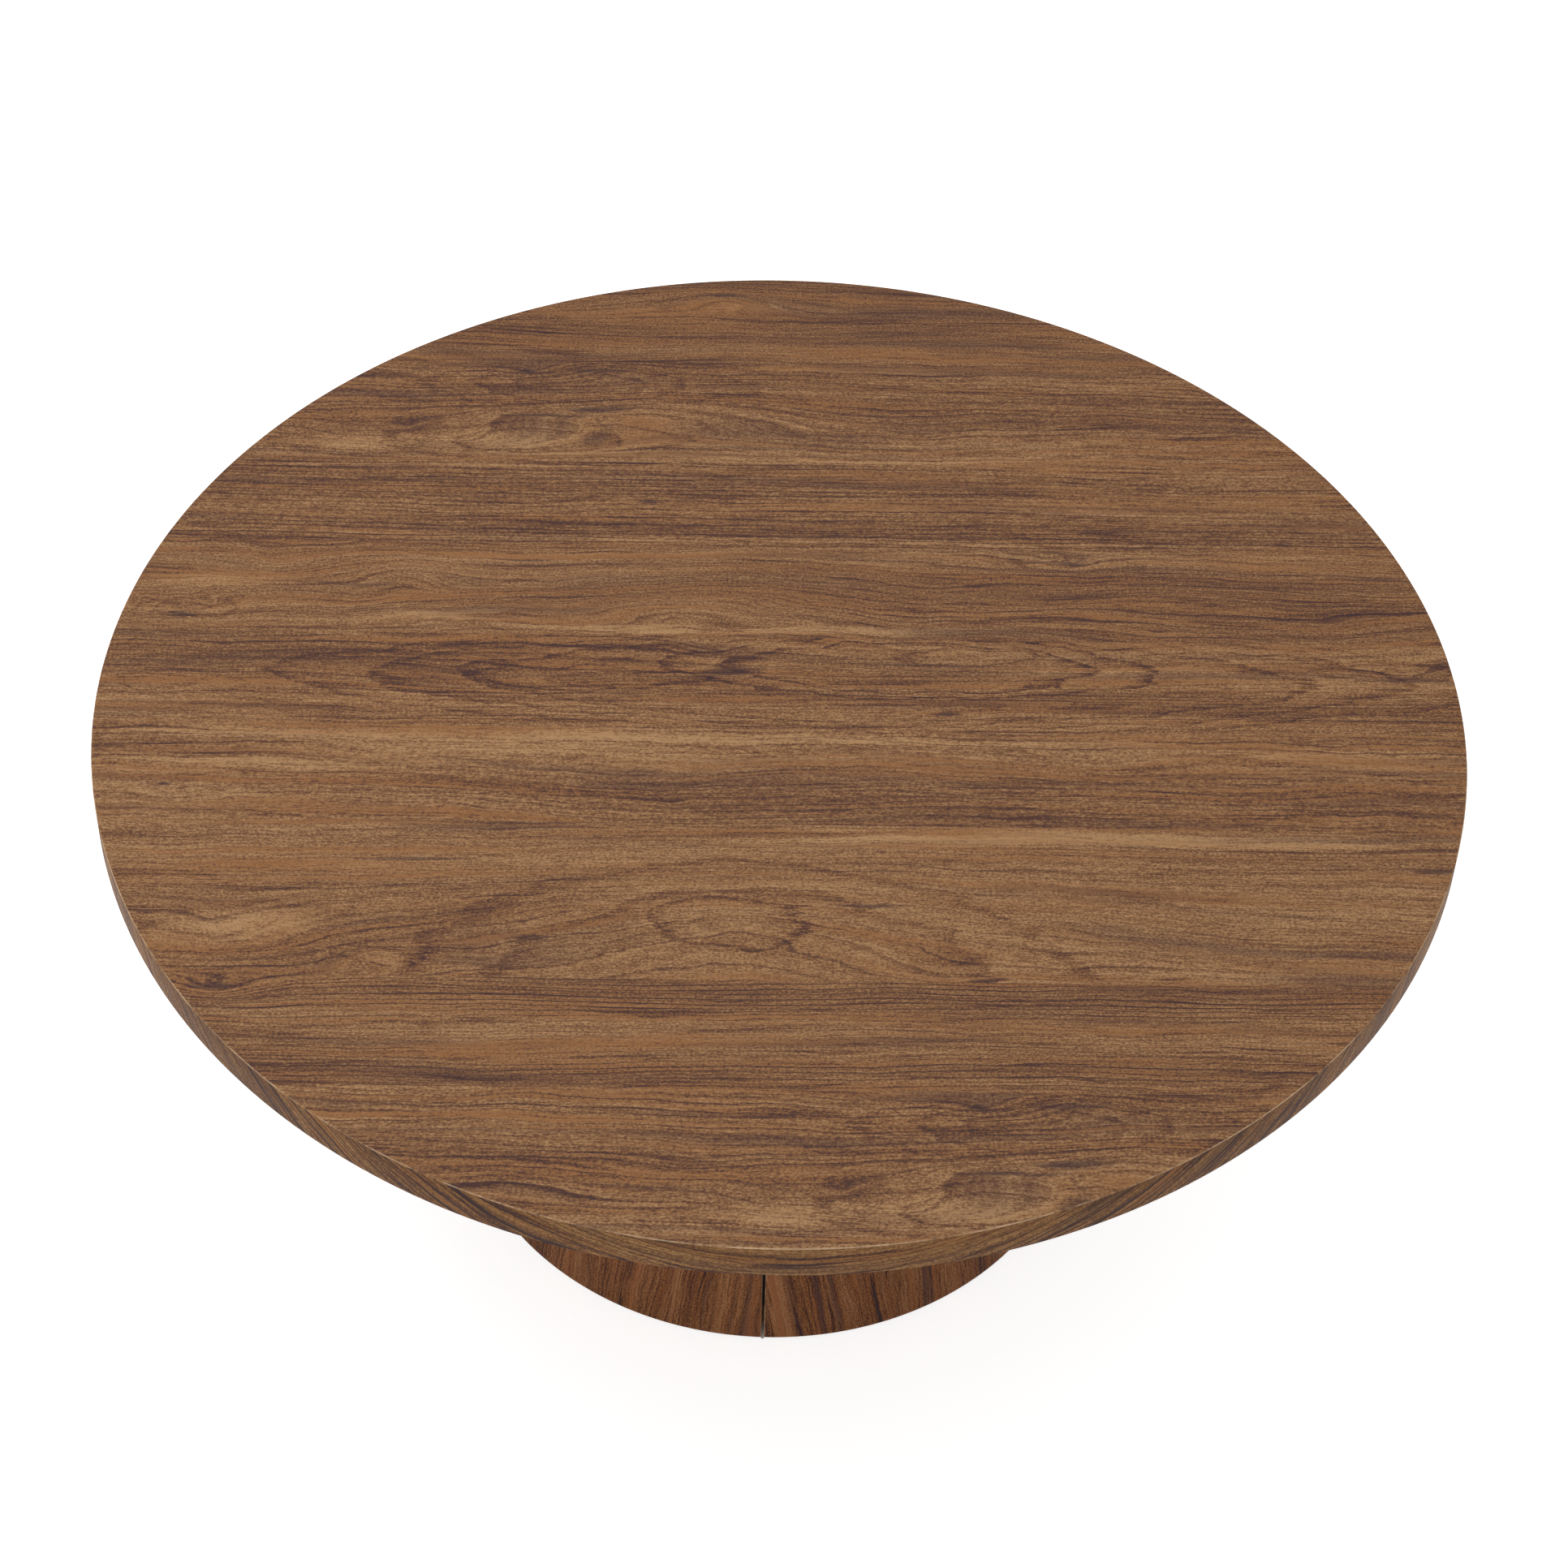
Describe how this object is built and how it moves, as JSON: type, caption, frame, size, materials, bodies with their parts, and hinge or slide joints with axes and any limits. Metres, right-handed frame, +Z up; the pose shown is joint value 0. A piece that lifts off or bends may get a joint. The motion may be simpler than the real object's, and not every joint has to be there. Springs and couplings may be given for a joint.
{
  "type": "tilt-top pedestal table",
  "caption": "Round walnut-grain pedestal table: the board is hinged at the back of a tapered drum, tilts up on edge behind it, and a sliding bolt under the front rim holds it shut.",
  "frame": {"origin": "on the floor, on the axis of the drum and the closed top", "axes": "+Z up; +Y to the back, where the pivots are; +X to the right of someone facing the front joint of the drum"},
  "size_m": [0.8999, 0.9, 0.4],
  "materials": {
    "walnut_foil_top": "satin printed foil, walnut grain along X over the face and on down the edge",
    "walnut_foil_drum": "satin printed foil, redder walnut grain running up the drum",
    "fibreboard": "raw medium-density fibreboard",
    "dark_backing": "plain dark brown balancing sheet",
    "bent_ply": "raw bent plywood, pale edges",
    "stained_cleat": "hardwood stained near black",
    "beech": "planed beech, clear lacquer",
    "zinc_steel": "bright zinc plate",
    "die_cast_zinc": "die-cast zinc alloy, dull",
    "black_steel": "black powder coat",
    "brass": "satin brass",
    "black_rubber": "moulded rubber",
    "nylon": "natural nylon",
    "black_plastic": "moulded plastic glide"
  },
  "bodies": {
    "base": {"drum_foil_left": "walnut_foil_drum", "drum_foil_right": "walnut_foil_drum", "drum_shell_left": "bent_ply", "drum_shell_right": "bent_ply", "seam_cleat_front": "stained_cleat", "seam_cleat_back": "stained_cleat", "cleat_screws": "zinc_steel", "drum_top_plate": "fibreboard", "drum_floor_plate": "fibreboard", "cam_nuts_upper": "die_cast_zinc", "cam_bolts_upper": "zinc_steel", "cam_nuts_lower": "die_cast_zinc", "cam_bolts_lower": "zinc_steel", "pivot_bracket_left": "black_steel", "pivot_bracket_right": "black_steel", "bracket_screws": "zinc_steel", "pivot_bolts": "zinc_steel", "pivot_washers": "zinc_steel", "pivot_nuts": "zinc_steel", "rest_pads": "black_rubber", "catch_keeper": "brass", "keeper_screws": "brass", "foot_glides": "black_plastic", "glide_screws": "zinc_steel"},
    "top": {"tabletop_foil": "walnut_foil_top", "tabletop_board": "fibreboard", "tabletop_backing": "dark_backing", "batten_left": "beech", "batten_right": "beech", "batten_screws": "zinc_steel", "pivot_bushes": "nylon", "stop_buffers": "black_rubber", "buffer_screws": "zinc_steel", "catch_case": "brass", "catch_case_screws": "brass"},
    "catch_bolt": {"catch_rod": "brass", "catch_knob": "brass"}
  },
  "joints": [
    {"name": "top_tilt", "type": "hinge", "parent": "base", "child": "top", "pos_m": [0, 0.18137, 0.356], "axis": [-1, 0, 0], "range_deg": [0, 85]},
    {"name": "catch_slide", "type": "slide", "parent": "top", "child": "catch_bolt", "axis": [0, 1, 0], "range_m": [0, 0.014]}
  ]
}
